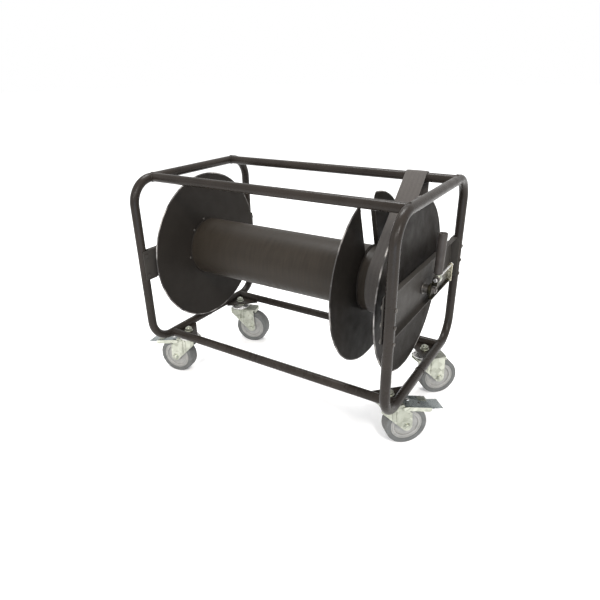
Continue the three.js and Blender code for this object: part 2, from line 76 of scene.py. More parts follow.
def joint_place(name):
    return Vector(joints[name]["pos_m"]) / MM


rail_low, rail_high = corners("back_top_rail")
TUBE = (rail_high.y - rail_low.y) / 2
RAIL_Y = (rail_high.y + rail_low.y) / 2
LOOP_LOW, LOOP_HIGH = corners("right_end_loop")
LOOP_DEPTH = LOOP_HIGH.y - TUBE
LOOP_BOTTOM = LOOP_LOW.z + TUBE
LOOP_TOP = LOOP_HIGH.z - TUBE
LOOP_BEND = 60
CART_X, CART_Y, AXLE_Z = joint_place("drum_spin")
LOOP_REACH = (LOOP_LOW.x + LOOP_HIGH.x) / 2 - CART_X
PLACES = ("front_left", "front_right", "back_left", "back_right")
SIDES = {"right": 0, "left": math.pi}


# ---------------------------------------------------------------- surfaces
def arc(centre, radius, start, end, steps):
    """Points of an arc between two angles in degrees."""
    angles = [math.radians(start + (end - start) * i / steps) for i in range(steps + 1)]
    return [(centre[0] + radius * math.cos(a), centre[1] + radius * math.sin(a)) for a in angles]


def bridge(first, second):
    """Faces between two rings of the same length, given as lists of indices."""
    count = len(first)
    return [[first[i], first[(i + 1) % count], second[(i + 1) % count], second[i]] for i in range(count)]


def lathe(profile, segments=48, closed=False):
    """A turned surface about local Z. A profile is (radius, height) pairs; it ends on the axis or closes."""
    points, faces, rings = [], [], []
    for radius, height in profile:
        start = len(points)
        if radius < 1e-6:
            points.append((0, 0, height))
            rings.append([start] * segments)
            continue
        for i in range(segments):
            angle = 2 * math.pi * i / segments
            points.append((radius * math.cos(angle), radius * math.sin(angle), height))
        rings.append(list(range(start, start + segments)))
    pairs = list(zip(rings, rings[1:]))
    if closed:
        pairs.append((rings[-1], rings[0]))
    for first, second in pairs:
        for face in bridge(first, second):
            corners_left = list(dict.fromkeys(face))
            if len(corners_left) > 2:
                faces.append(corners_left)
    return points, faces


def extrude(outline, low, high):
    """An outline in local X and Y with straight sides along local Z."""
    count = len(outline)
    points = [(u, v, low) for u, v in outline] + [(u, v, high) for u, v in outline]
    bottom, top = list(range(count)), list(range(count, 2 * count))
    return points, [bottom[::-1], top, *bridge(bottom, top)]


def sweep(path, radius, sides=16, closed=False):
    """A round bar along a path. The radius is one number, or one for each point."""
    path = [Vector(p) for p in path]
    count = len(path)
    radii = radius if hasattr(radius, "__len__") else [radius] * count
    points, rings, normal = [], [], None
    for i, centre in enumerate(path):
        before = path[i - 1] if closed or i > 0 else centre
        after = path[(i + 1) % count] if closed or i < count - 1 else centre
        tangent = (after - before).normalized()
        normal = normal or tangent.orthogonal()
        normal = (normal - tangent * normal.dot(tangent)).normalized()
        across = tangent.cross(normal)
        rings.append(list(range(len(points), len(points) + sides)))
        for k in range(sides):
            angle = 2 * math.pi * k / sides
            points.append(centre + radii[i] * (math.cos(angle) * normal + math.sin(angle) * across))
    faces = []
    for first, second in zip(rings, rings[1:]):
        faces += bridge(first, second)
    if closed:
        faces += bridge(rings[-1], rings[0])
    else:
        faces += [rings[0][::-1], rings[-1]]
    return points, faces


def rounded_box(width, depth, radius, steps=4):
    """The outline of a rectangle with round corners, centred on the origin."""
    outline = []
    for sign_u, sign_v, start in ((1, 1, 0), (-1, 1, 90), (-1, -1, 180), (1, -1, 270)):
        centre = (sign_u * (width / 2 - radius), sign_v * (depth / 2 - radius))
        outline += arc(centre, radius, start, start + 90, steps)
    return outline


def hexagon(across_flats):
    radius = across_flats / 2 / math.cos(math.pi / 6)
    return arc((0, 0), radius, 30, 330, 5)


def basis(u, v, origin=(0, 0, 0)):
    """The matrix that puts local X along u, local Y along v and local Z along u x v."""
    u, v = Vector(u), Vector(v)
    matrix = Matrix((u, v, u.cross(v))).transposed().to_4x4()
    matrix.translation = Vector(origin)
    return matrix


def along(axis, origin=(0, 0, 0)):
    """The matrix that puts local Z along an axis through an origin."""
    axis = Vector(axis).normalized()
    u = axis.orthogonal().normalized()
    return basis(u, axis.cross(u), origin)


def dome(radius, height, crown=0.45, segments=24):
    """A round bolt head standing on local Z = 0."""
    skirt = height * (1 - crown)
    rise = [(radius * math.cos(a), skirt + height * crown * math.sin(a)) for a in steps_to(math.pi / 2, 5)]
    return lathe([(0, 0), (radius, 0), *rise[:-1], (0, height)], segments)


def steps_to(end, count):
    return [end * i / count for i in range(count + 1)]


def face_outwards(mesh):
    tidy = bmesh.new()
    tidy.from_mesh(mesh)
    bmesh.ops.recalc_face_normals(tidy, faces=tidy.faces)
    tidy.to_mesh(mesh)
    tidy.free()


class Shape:
    """Collects the surfaces of one piece."""

    def __init__(self):
        self.points, self.faces, self.finishes = [], [], []

    def add(self, surface, place=None, finish=0):
        points, faces = surface
        start = len(self.points)
        place = place or Matrix.Identity(4)
        self.points += [place @ Vector(p) for p in points]
        self.faces += [[start + i for i in face] for face in faces]
        self.finishes += [finish] * len(faces)
        return self

    def make(self, name, body, materials, slot, replaces=(), bevel=0.0, sharp=35):
        """Makes the piece: an object of metres that rides on a body and stands for CAD nodes."""
        mesh = bpy.data.meshes.new(name)
        mesh.from_pydata([p * MM for p in self.points], [], self.faces)
        for material in materials:
            mesh.materials.append(material)
        mesh.polygons.foreach_set("material_index", self.finishes)
        face_outwards(mesh)
        mesh.shade_smooth()
        mesh.set_sharp_from_angle(angle=math.radians(sharp))
        piece = bpy.data.objects.new(name, mesh)
        bpy.context.scene.collection.objects.link(piece)
        if bevel:
            edge = piece.modifiers.new("edges", "BEVEL")
            edge.width = bevel * MM
            edge.segments = 2
            edge.limit_method = "ANGLE"
            edge.angle_limit = math.radians(sharp)
            edge.harden_normals = True
        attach(piece, body)
        if replaces:
            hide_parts(*replaces)
        return piece


# ---------------------------------------------------------------- materials
class Recipe:
    """A material's nodes, built one step at a time."""

    def __init__(self, name, metallic=0.0, roughness=0.5):
        self.material = bpy.data.materials.new(name)
        self.material.use_nodes = True
        self.tree = self.material.node_tree
        self.shader = self.tree.nodes["Principled BSDF"]
        self.shader.inputs["Metallic"].default_value = metallic
        self.shader.inputs["Roughness"].default_value = roughness
        self.place = self.node("ShaderNodeTexCoord").outputs["Object"]

    def node(self, kind, **settings):
        made = self.tree.nodes.new(kind)
        for name, value in settings.items():
            setattr(made, name, value)
        return made

    def link(self, output, socket):
        self.tree.links.new(output, socket)

    def noise(self, scale, detail=3.0, stretch=(1, 1, 1), place=None):
        mapping = self.node("ShaderNodeMapping")
        mapping.inputs["Scale"].default_value = stretch
        self.link(place or self.place, mapping.inputs["Vector"])
        made = self.node("ShaderNodeTexNoise")
        made.inputs["Scale"].default_value = scale
        made.inputs["Detail"].default_value = detail
        self.link(mapping.outputs["Vector"], made.inputs["Vector"])
        return made.outputs["Fac"]

    def ramp(self, value, stops):
        """Colours or greys at places from 0 to 1 along a value."""
        made = self.node("ShaderNodeValToRGB")
        elements = made.color_ramp.elements
        while len(elements) < len(stops):
            elements.new(0.5)
        for element, (place, colour) in zip(elements, stops):
            grey = not hasattr(colour, "__len__")
            element.position = place
            element.color = (colour, colour, colour, 1) if grey else (*colour, 1)
        self.link(value, made.inputs["Fac"])
        return made.outputs["Color"]

    def mix(self, share, first, second, blend="MIX"):
        made = self.node("ShaderNodeMix", data_type="RGBA", blend_type=blend)
        for value, socket in ((share, "Factor"), (first, "A"), (second, "B")):
            target = made.inputs[{"Factor": 0, "A": 6, "B": 7}[socket]]
            if isinstance(value, bpy.types.NodeSocket):
                self.link(value, target)
            else:
                target.default_value = (*value, 1) if hasattr(value, "__len__") else value
        return made.outputs[2]

    def math(self, operation, first, second=0.0):
        made = self.node("ShaderNodeMath", operation=operation)
        for index, value in enumerate((first, second)):
            if isinstance(value, bpy.types.NodeSocket):
                self.link(value, made.inputs[index])
            else:
                made.inputs[index].default_value = value
        return made.outputs[0]

    def colour(self, output):
        self.link(output, self.shader.inputs["Base Color"])

    def roughness(self, output):
        self.link(output, self.shader.inputs["Roughness"])

    def bump(self, height, depth, strength=1.0):
        """Depth is in millimetres."""
        made = self.node("ShaderNodeBump")
        made.inputs["Strength"].default_value = strength
        made.inputs["Distance"].default_value = depth * MM
        self.link(height, made.inputs["Height"])
        self.link(made.outputs["Normal"], self.shader.inputs["Normal"])


def paint(name, dark, light, roughness, grain=0.12, shine=0.5):
    """Powder coat or brushed paint: cloudy colour, uneven gloss and a fine orange peel."""
    made = Recipe(name, metallic=0.0, roughness=roughness)
    clouds = made.noise(9.0, 5.0)
    specks = made.noise(900.0, 2.0)
    body = made.ramp(clouds, [(0.3, dark), (0.72, light)])
    made.colour(made.mix(made.ramp(specks, [(0.45, 0.0), (0.75, 0.35)]), body, light))
    made.roughness(made.ramp(made.noise(35.0, 6.0), [(0.25, roughness - 0.09), (0.8, roughness + 0.12)]))
    made.bump(made.noise(1400.0, 2.0), grain)
    made.shader.inputs["Specular IOR Level"].default_value = shine
    return made.material


def core_paint():
    """Paint that hoses have rubbed: bands and streaks round the core."""
    made = Recipe("core_paint", roughness=0.42)
    streaks = made.noise(34.0, 6.0, (7.0, 0.6, 0.6))
    clouds = made.noise(7.0, 4.0)
    body = made.ramp(streaks, [(0.3, (0.0125, 0.0096, 0.0069)), (0.7, (0.026, 0.0203, 0.0146))])
    made.colour(made.mix(clouds, body, (0.0185, 0.0147, 0.0108)))
    made.roughness(made.ramp(streaks, [(0.3, 0.38), (0.75, 0.58)]))
    made.shader.inputs["Specular IOR Level"].default_value = 0.17
    made.bump(made.noise(700.0, 3.0), 0.1)
    return made.material


def plated(name, dark, light, roughness, spangle=90.0):
    """Zinc plating: patches of slightly different grey and gloss, and fine rolling marks."""
    made = Recipe(name, metallic=0.85, roughness=roughness)
    cells = made.node("ShaderNodeTexVoronoi")
    cells.inputs["Scale"].default_value = spangle
    made.link(made.place, cells.inputs["Vector"])
    patches = made.mix(0.5, cells.outputs["Color"], made.noise(40.0, 4.0))
    made.colour(made.ramp(patches, [(0.25, dark), (0.75, light)]))
    made.roughness(made.ramp(made.noise(160.0, 5.0), [(0.3, roughness - 0.08), (0.75, roughness + 0.14)]))
    made.bump(made.noise(1100.0, 2.0, (1, 6, 1)), 0.05)
    return made.material


def moulded(name, dark, light, roughness, grain, shine=0.5):
    """Moulded plastic or rubber: faint mottling and a fine textured skin."""
    made = Recipe(name, roughness=roughness)
    made.colour(made.ramp(made.noise(60.0, 5.0), [(0.3, dark), (0.75, light)]))
    made.roughness(made.ramp(made.noise(220.0, 3.0), [(0.3, roughness - 0.07), (0.75, roughness + 0.08)]))
    made.bump(made.noise(1600.0, 2.0), grain)
    made.shader.inputs["Specular IOR Level"].default_value = shine
    return made.material


def webbing_cloth():
    """A coarse plain weave along the strap's own directions, in millimetres."""
    made = Recipe("webbing", roughness=0.9)
    uv = made.node("ShaderNodeTexCoord").outputs["UV"]
    split = made.node("ShaderNodeSeparateXYZ")
    made.link(uv, split.inputs["Vector"])
    across, down = split.outputs["X"], split.outputs["Y"]

    def ribs(value, pitch):
        return made.math("SINE", made.math("MULTIPLY", value, 2 * math.pi / pitch))

    weave = made.math("MULTIPLY", ribs(across, 3.2), ribs(down, 2.6))
    cords = made.math("ADD", weave, made.math("MULTIPLY", ribs(across, 10.4), 0.25))
    height = made.math("ADD", made.math("MULTIPLY", cords, 0.38), 0.5)
    fuzz = made.noise(500.0, 4.0)
    # The colour is darker where the weave's height is low: painted shade in the hollows between the ribs.
    shade = made.ramp(height, [(0.15, (0.029, 0.025, 0.023)), (0.8, (0.052, 0.046, 0.041))])
    made.colour(made.mix(made.ramp(fuzz, [(0.35, 0.0), (0.75, 0.5)]), shade, (0.070, 0.062, 0.055)))
    made.bump(made.math("ADD", height, made.math("MULTIPLY", fuzz, 0.35)), 0.35)
    made.shader.inputs["Sheen Weight"].default_value = 0.1
    return made.material


FRAME_PAINT = paint("frame_paint", (0.013, 0.0105, 0.0086), (0.024, 0.0197, 0.0164), 0.28, shine=0.12)
CHANNEL_PAINT = paint("channel_paint", (0.030, 0.0275, 0.0245), (0.041, 0.0375, 0.0335), 0.45, shine=0.04)
DISC_PAINT = paint("disc_paint", (0.0118, 0.0100, 0.0083), (0.0168, 0.0143, 0.0119), 0.55, 0.16, 0.07)
CORE_PAINT = core_paint()
ZINC = plated("zinc", (0.25, 0.26, 0.215), (0.48, 0.49, 0.42), 0.34)
PEDAL_STEEL = plated("pedal_steel", (0.09, 0.105, 0.105), (0.29, 0.32, 0.32), 0.28, 55.0)
# The crank's yellow zinc comes as two copies: a darkened one that paints shade over the bracket, and a
# lighter one that paints light on its far ear.
SHADED_YELLOW_PLATE = plated("yellow_zinc", (0.010, 0.009, 0.005), (0.036, 0.031, 0.018), 0.42, 140.0)
LIT_YELLOW_PLATE = plated("bright_zinc", (0.30, 0.27, 0.17), (0.62, 0.58, 0.45), 0.26, 140.0)
DULL_STEEL = plated("dull_steel", (0.040, 0.035, 0.030), (0.150, 0.138, 0.126), 0.45)
STEEL = plated("steel", (0.40, 0.39, 0.38), (0.66, 0.65, 0.64), 0.28)
# A near-black material of painted shade: it fills the gap in the casters' ball races and marks a dark spot on
# the pedal cover.
GAP_SHADE = moulded("race_gap_shade", (0.015, 0.013, 0.011), (0.03, 0.026, 0.022), 0.5, 0.05)
TYRE = moulded("tyre_rubber", (0.070, 0.071, 0.067), (0.102, 0.103, 0.098), 0.70, 0.14)
HUB = moulded("hub_plastic", (0.190, 0.186, 0.172), (0.265, 0.260, 0.243), 0.45, 0.08)
GRIP = moulded("grip_plastic", (0.030, 0.0255, 0.0225), (0.046, 0.0400, 0.0355), 0.45, 0.1, 0.18)
WEBBING = webbing_cloth()


# ---------------------------------------------------------------- frame
def end_loop(side):
    """A bent tube, closed by the butt weld in the middle of its bottom run."""
    x = CART_X + (LOOP_REACH if side == "right" else -LOOP_REACH)
    run_y = LOOP_DEPTH - LOOP_BEND
    low, high = LOOP_BOTTOM + LOOP_BEND, LOOP_TOP - LOOP_BEND
    flat = []
    bends = (((run_y, low), -90), ((run_y, high), 0), ((-run_y, high), 90), ((-run_y, low), 180))
    for centre, start in bends:
        flat += arc(centre, LOOP_BEND, start, start + 90, 16)
    path = [(x, y, z) for y, z in flat]
    shape = Shape().add(sweep(path, TUBE, 32, closed=True))
    shape.make(f"{side}_end_loop_tube", "frame", [FRAME_PAINT], "frame_paint", [f"{side}_end_loop"])


def rail(name, y, z):
    ends = [(CART_X + sign * LOOP_REACH, y, z) for sign in (-1, 1)]
    shape = Shape().add(sweep(ends, TUBE - 0.05, 32))
    shape.make(f"{name}_tube", "frame", [FRAME_PAINT], "frame_paint", [name])


def weld_bead(path, width, seed, closed=True):
    """A bead with the ripples that a welder leaves."""
    rough = random.Random(seed)
    count = len(path)
    radii = [width * (1 + 0.16 * math.sin(i * 1.9) + rough.uniform(-0.08, 0.08)) for i in range(count)]
    return sweep(path, radii, 8, closed)


def cope_line(y, z, sign):
    """Where a rail's end meets a loop's tube of the same size."""
    points = []
    for i in range(72):
        angle = 2 * math.pi * i / 72
        x = CART_X + sign * (LOOP_REACH - TUBE * abs(math.cos(angle)))
        points.append((x, y + TUBE * math.cos(angle), z + TUBE * math.sin(angle)))
    return points


def frame_welds():
    shape = Shape()
    for sign in (-1, 1):
        for y in (-RAIL_Y, RAIL_Y):
            for z in (LOOP_BOTTOM, LOOP_TOP):
                shape.add(weld_bead(cope_line(y, z, sign), 1.7, int(sign * y + z)))
        seam = [
            (CART_X + sign * LOOP_REACH + TUBE * math.cos(a), 0, LOOP_BOTTOM + TUBE * math.sin(a))
            for a in steps_to(2 * math.pi, 48)[:-1]
        ]
        shape.add(weld_bead(seam, 1.2, sign))
    shape.make("frame_welds", "frame", [FRAME_PAINT], "frame_paint", sharp=60)


for loop_side in SIDES:
    end_loop(loop_side)
for rail_name, rail_side, rail_height in (
    ("front_top_rail", -RAIL_Y, LOOP_TOP),
    ("back_top_rail", RAIL_Y, LOOP_TOP),
    ("front_bottom_rail", -RAIL_Y, LOOP_BOTTOM),
    ("back_bottom_rail", RAIL_Y, LOOP_BOTTOM),
):
    rail(rail_name, rail_side, rail_height)
frame_welds()

# ---------------------------------------------------------------- crossbars and bearings
CHANNEL_SHEET = 2.5
CHANNEL_LIP = 14.0
COVER_RADIUS = 21.5  # of the caster's cover plate
BEAD_STEPS = 30
BEAD_OUT = 0.8
BEAD_RISE = 2
CHANNEL_BEND = 4.0
TAB_CORNER = 14
WEB_END = 226
CROSSBAR_BOLTS = {"right": (39, 2, -34), "left": (30, -22)}
BOLT_FINISH = {"right": DULL_STEEL, "left": CHANNEL_PAINT}


def channel_section(web, low, high):
    """A folded channel's section: an outer skin and an inner one a sheet's thickness away."""
    tip = web + CHANNEL_LIP
    outer, inner = CHANNEL_BEND, CHANNEL_BEND - CHANNEL_SHEET
    sheet = CHANNEL_SHEET
    skin = [(tip, low), *arc((web + outer, low + outer), outer, 270, 180, 5)]
    skin += [*arc((web + outer, high - outer), outer, 180, 90, 5), (tip, high), (tip, high - sheet)]
    skin += arc((web + outer, high - outer), inner, 90, 180, 5)
    skin += arc((web + outer, low + outer), inner, 180, 270, 5)
    return [*skin, (tip, low + sheet)]


def crossbar(side):
    place = Matrix.Translation((CART_X, 0, 0)) @ Matrix.Rotation(SIDES[side], 4, "Z")
    low, high = corners(f"{side}_crossbar")
    web = min(abs(low.x - CART_X), abs(high.x - CART_X))
    reach = max(abs(low.x - CART_X), abs(high.x - CART_X))
    shape = Shape()
    upright = place @ basis(X, Z)
    half = LOOP_DEPTH - TUBE - 0.3
    shape.add(extrude(channel_section(web, low.z, high.z), -half, half), upright)
    ear = rounded_box(WEB_END - half + 20, high.z - low.z, 6)
    for sign in (-1, 1):
        middle = ((WEB_END + half - 20) / 2 * sign, (low.z + high.z) / 2)
        blade = [(u + middle[0], v + middle[1]) for u, v in ear]
        shape.add(extrude(blade, web + 0.1, web + CHANNEL_SHEET - 0.1), place @ basis(Y, Z))
    corner = (reach - TAB_CORNER, high.z - TAB_CORNER)
    tab = [(web + 1, low.z), (reach, low.z), *arc(corner, TAB_CORNER, 0, 90, 6)]
    tab += [(web + 1, high.z)]
    for end in (-half, half - CHANNEL_SHEET):
        shape.add(extrude(tab, end, end + CHANNEL_SHEET), upright)
    name = f"{side}_crossbar_channel"
    shape.make(name, "frame", [CHANNEL_PAINT], "frame_paint", [f"{side}_crossbar"], bevel=0.5)

    bolts = Shape()
    for height in CROSSBAR_BOLTS[side]:
        for sign in (-1, 1):
            head = Vector((LOOP_REACH + TUBE - 0.5, sign * LOOP_DEPTH, AXLE_Z + height))
            bolts.add(dome(4.4, 3.0), along(place.to_3x3() @ X, place @ head))
            nut = Vector((web, sign * LOOP_DEPTH, AXLE_Z + height))
            bolts.add(extrude(hexagon(9), 0, 4), along(place.to_3x3() @ -X, place @ nut))
    bolts.make(f"{side}_crossbar_bolts", "frame", [BOLT_FINISH[side]], "bright_steel", bevel=0.3)


def axle_bearing(side):
    """A flanged cast unit bolted inside the crossbar's web."""
    low, high = corners(f"{side}_axle_bearing")
    near, far = sorted((abs(low.x - CART_X), abs(high.x - CART_X)))
    flange = (high.z - low.z) / 2 / math.cos(math.pi / 16)
    bore = 10.3
    outline = [(bore, near), (17, near), (20, near + 2), (21, far - 6), (24, far - 4), (flange - 1, far - 4)]
    outline += [(flange, far - 3), (flange, far), (bore, far)]
    place = Matrix.Translation((CART_X, 0, AXLE_Z)) @ Matrix.Rotation(SIDES[side], 4, "Z") @ along(X)
    shape = Shape().add(lathe(outline, 64, closed=True), place)
    for i in range(4):
        angle = math.pi / 4 + i * math.pi / 2
        spot = Vector((29 * math.cos(angle), 29 * math.sin(angle), far - 8.5))
        shape.add(extrude(hexagon(9), 0, 4.6), place @ Matrix.Translation(spot))
    shape.make(f"{side}_bearing_unit", "frame", [STEEL], "bright_steel", [f"{side}_axle_bearing"])


for bar_side in SIDES:
    crossbar(bar_side)
    axle_bearing(bar_side)

# ---------------------------------------------------------------- drum
DRUM = Matrix.Translation((CART_X, 0, AXLE_Z))
SPOOL = DRUM @ basis(Y, Z)
DISC_RADIUS = 202
DISC_SHEET = 2
RIM_BEAD = 1.7
CORE_RADIUS = 77
LEFT_FLANGE, PARTITION, RIGHT_FLANGE = -304, 193, 291
SLOT = {"lean": 17.5, "left": -11, "right": 57, "lip": 10, "bend": 4, "corner": 14}
PARTITION_LUGS = (-150, -30)
FLANGE_SCREWS = (102, 134, 188, 282, 314, 8)
STEP_RING = 166


def worn_rim():
    """Paint rubbed through to bright metal in patches."""
    made = Recipe("worn_rim")
    mask = made.ramp(made.noise(26.0, 8.0), [(0.46, 0.0), (0.66, 1.0)])
    made.colour(made.mix(mask, (0.016, 0.013, 0.011), (0.34, 0.32, 0.30)))
    made.link(made.ramp(mask, [(0.0, 0.0), (1.0, 0.6)]), made.shader.inputs["Metallic"])
    made.roughness(made.ramp(mask, [(0.0, 0.55), (1.0, 0.38)]))
    return made.material


WORN_RIM = worn_rim()


def disc_profile(bore, x, step=0.0):
    """A disc's section: a flat sheet, or one whose outer ring is pressed out by a step."""
    edge = DISC_RADIUS - RIM_BEAD
    near = [(bore, x), (STEP_RING - 2, x), (STEP_RING + 2, x + step), (edge, x + step)]
    return near + [(radius, height + DISC_SHEET) for radius, height in reversed(near)]


def rim_bead(x):
    centre = (DISC_RADIUS - RIM_BEAD, x + DISC_SHEET / 2)
    return lathe(arc(centre, RIM_BEAD, 0, 330, 11), 180, closed=True)


def flange(side, x, step):
    shape = Shape()
    shape.add(lathe(disc_profile(10.3, x, step), 180, closed=True), SPOOL)
    shape.add(rim_bead(x + step), SPOOL, 1)
    shape.make(f"{side}_flange_disc", "drum", [DISC_PAINT, WORN_RIM], "drum_paint", [f"{side}_flange"])


def slot_outline():
    """The slot and its rounded corners at the rim, wider by the bend where the lips fold."""
    left, right, corner, bend = SLOT["left"], SLOT["right"], SLOT["corner"], SLOT["bend"]
    (left_start, left_end), (right_start, right_end) = lip_run(left), lip_run(right)
    beyond = DISC_RADIUS + 30

    def centre_height(centre):
        return math.sqrt((DISC_RADIUS - corner) ** 2 - centre**2)

    near, far = right + corner, left - corner
    near_stop = math.degrees(math.atan2(centre_height(near), near))
    far_stop = math.degrees(math.atan2(centre_height(far), far))
    outline = [(left, 40), (right, 40), (right, right_start), (right + bend, right_start)]
    outline += [(right + bend, right_end), (right, right_end)]
    outline += arc((near, centre_height(near)), corner, 180, near_stop, 8)
    outline += [(near + corner, beyond), (far - corner, beyond)]
    outline += arc((far, centre_height(far)), corner, far_stop, 0, 8)
    left_edge = [(left - bend, left_end), (left - bend, left_start)]
    return outline + [(left, left_end), *left_edge, (left, left_start)]


def lip_run(edge):
    """Where a slot edge's folded lip starts at the core and ends short of the rim."""
    start = math.sqrt((CORE_RADIUS + 1) ** 2 - edge**2) + 1
    end = math.sqrt((DISC_RADIUS - SLOT["corner"]) ** 2 - (abs(edge) + SLOT["corner"]) ** 2) - 1
    return start, end


def lip_section(edge, sign):
    """A sheet folded towards the hose side. Pairs are across the slot and along the axle."""
    bend, x = SLOT["bend"], PARTITION
    centre = (edge + sign * bend, x + DISC_SHEET - bend)
    turn = (90, 180) if sign > 0 else (90, 0)
    outer = arc(centre, bend, *turn, 6)
    inner = arc(centre, bend - DISC_SHEET, turn[1], turn[0], 6)
    tip = x - SLOT["lip"]
    return [*outer, (edge, tip), (edge + sign * DISC_SHEET, tip), *inner]


def subtract(piece, cutter):
    """Cuts one mesh object out of another and removes the cutter."""
    modifier = piece.modifiers.new("cut", "BOOLEAN")
    modifier.object = cutter
    modifier.operation = "DIFFERENCE"
    modifier.solver = "EXACT"
    modifier.use_self = True
    bpy.context.view_layer.update()
    cut_mesh = bpy.data.meshes.new_from_object(piece.evaluated_get(bpy.context.evaluated_depsgraph_get()))
    piece.modifiers.remove(modifier)
    piece.data = cut_mesh
    cut_mesh.set_sharp_from_angle(angle=math.radians(35))
    bpy.data.objects.remove(cutter)


def raw_object(name, surface, place):
    mesh = bpy.data.meshes.new(name)
    points, faces = surface
    mesh.from_pydata([(place @ Vector(p)) * MM for p in points], [], faces)
    face_outwards(mesh)
    made = bpy.data.objects.new(name, mesh)
    bpy.context.scene.collection.objects.link(made)
    return made


def partition():
    leaning = SPOOL @ Matrix.Rotation(math.radians(SLOT["lean"]), 4, "Z")
    shape = Shape()
    shape.add(lathe(disc_profile(CORE_RADIUS + 0.3, PARTITION), 180, closed=True), SPOOL)
    shape.add(rim_bead(PARTITION), SPOOL, 1)
    disc = shape.make(
        "partition_disc", "drum", [DISC_PAINT, WORN_RIM], "drum_paint", ["slotted_partition"]
    )
    cutter = raw_object("slot_cutter", extrude(slot_outline(), PARTITION - 20, PARTITION + 20), leaning)
    subtract(disc, cutter)

    lips = Shape()
    for edge, sign in ((SLOT["left"], -1), (SLOT["right"], 1)):
        upright = leaning @ basis(X, Z) @ Matrix.Scale(-1, 4, Z)
        lips.add(extrude(lip_section(edge, sign), *lip_run(edge)), upright)
        fold = [(edge + sign * 1.5, height, PARTITION + 0.7) for height in lip_run(edge)]
        lips.add(sweep(fold, 1.0, 8), leaning, 1)
    lips.make("partition_lips", "drum", [DISC_PAINT, WORN_RIM], "drum_paint", bevel=0.3)

    lugs = Shape()
    for degrees in PARTITION_LUGS:
        turned = Matrix.Rotation(math.radians(degrees), 4, "Z")
        spot = SPOOL @ turned @ Matrix.Translation((CORE_RADIUS, 0, PARTITION))
        lugs.add(extrude(rounded_box(4, 26, 1.5), -30, 0), spot @ Matrix.Translation((2, 0, 0)))
        lugs.add(extrude(rounded_box(26, 26, 4), -4, 0), spot @ Matrix.Translation((13, 0, 0)))
        lugs.add(extrude(hexagon(10), -10, -4), spot @ Matrix.Translation((15, 0, 0)), 1)
        lugs.add(dome(5, 3.2), spot @ basis(Y, Z, (4, 0, -18)), 1)
    lugs.make("partition_lugs", "drum", [DISC_PAINT, STEEL], "drum_paint", bevel=0.5)


def core():
    start, end = LEFT_FLANGE + DISC_SHEET, RIGHT_FLANGE
    inner = CORE_RADIUS - 2
    profile = [(CORE_RADIUS, start), (CORE_RADIUS, end), (inner, end), (inner, start)]
    shape = Shape().add(lathe(profile, 128, closed=True), SPOOL)
    for x, seed in ((start + 1.2, 3), (end - 1.2, 5), (PARTITION - 1, 7), (PARTITION + DISC_SHEET + 1, 9)):
        turn = steps_to(2 * math.pi, 240)
        ring = [(CORE_RADIUS + 0.4) * Vector((math.cos(a), math.sin(a), 0)) + x * Z for a in turn]
        shape.add(weld_bead(ring[:-1], 1.8, seed), SPOOL, 1)
    shape.make("core_tube", "drum", [CORE_PAINT, DISC_PAINT], "drum_paint", ["drum_core"])

    screws = Shape()
    for degrees in FLANGE_SCREWS:
        spot = Matrix.Rotation(math.radians(degrees), 4, "Z") @ Matrix.Translation((82.5, 0, start))
        screws.add(dome(3.4, 2.2), SPOOL @ spot)
    screws.make("left_flange_screws", "drum", [DULL_STEEL], "bright_steel")


def axle():
    """The bar through the drum, its chamfered ends, and the collars outside the bearings."""
    bar = [(0, -334), (9, -334), (10, -333), (10, 335.2), (9.2, 336)]
    bar += [(5, 336), (5, 353.4), (4.4, 354), (0, 354)]
    shape = Shape().add(lathe(bar, 40), SPOOL)
    for radius, start in ((5.35, 345.0), (5.35, 347.5), (5.35, 350.0)):
        shape.add(lathe(arc((radius - 0.4, start), 0.5, 0, 300, 5), 32, closed=True), SPOOL)
    shape.make("axle_bar", "drum", [DULL_STEEL], "bright_steel", ["drum_axle"])
    for side in SIDES:
        low, high = corners(f"{side}_axle_collar")
        middle, half = (low.x + high.x) / 2 - CART_X, (high.x - low.x) / 2
        ring = [(10.2, middle - half), (13, middle - half), (13.5, middle)]
        ring += [(13, middle + half), (10.2, middle + half)]
        collar = Shape().add(lathe(ring, 40, closed=True), SPOOL)
        collar.make(f"{side}_collar_ring", "drum", [DULL_STEEL], "bright_steel", [f"{side}_axle_collar"])


flange("left", LEFT_FLANGE, 0.0)
flange("right", RIGHT_FLANGE, 1.4)
partition()
core()
axle()

# ---------------------------------------------------------------- crank
ROD_X, ROD_Z = 348.5, 23
NECK_Y = 15
LEAN = math.radians(1.5)


def flat_piece(outline, low, high, normal):
    """An outline in the drum's millimetres, thick along X (drawn in Y, Z) or Y (drawn in X, Z)."""
    if normal == "X":
        return extrude(outline, low, high), DRUM @ basis(Y, Z)
    return extrude([(u, -v) for u, v in outline], low, high), DRUM @ basis(X, -Z)


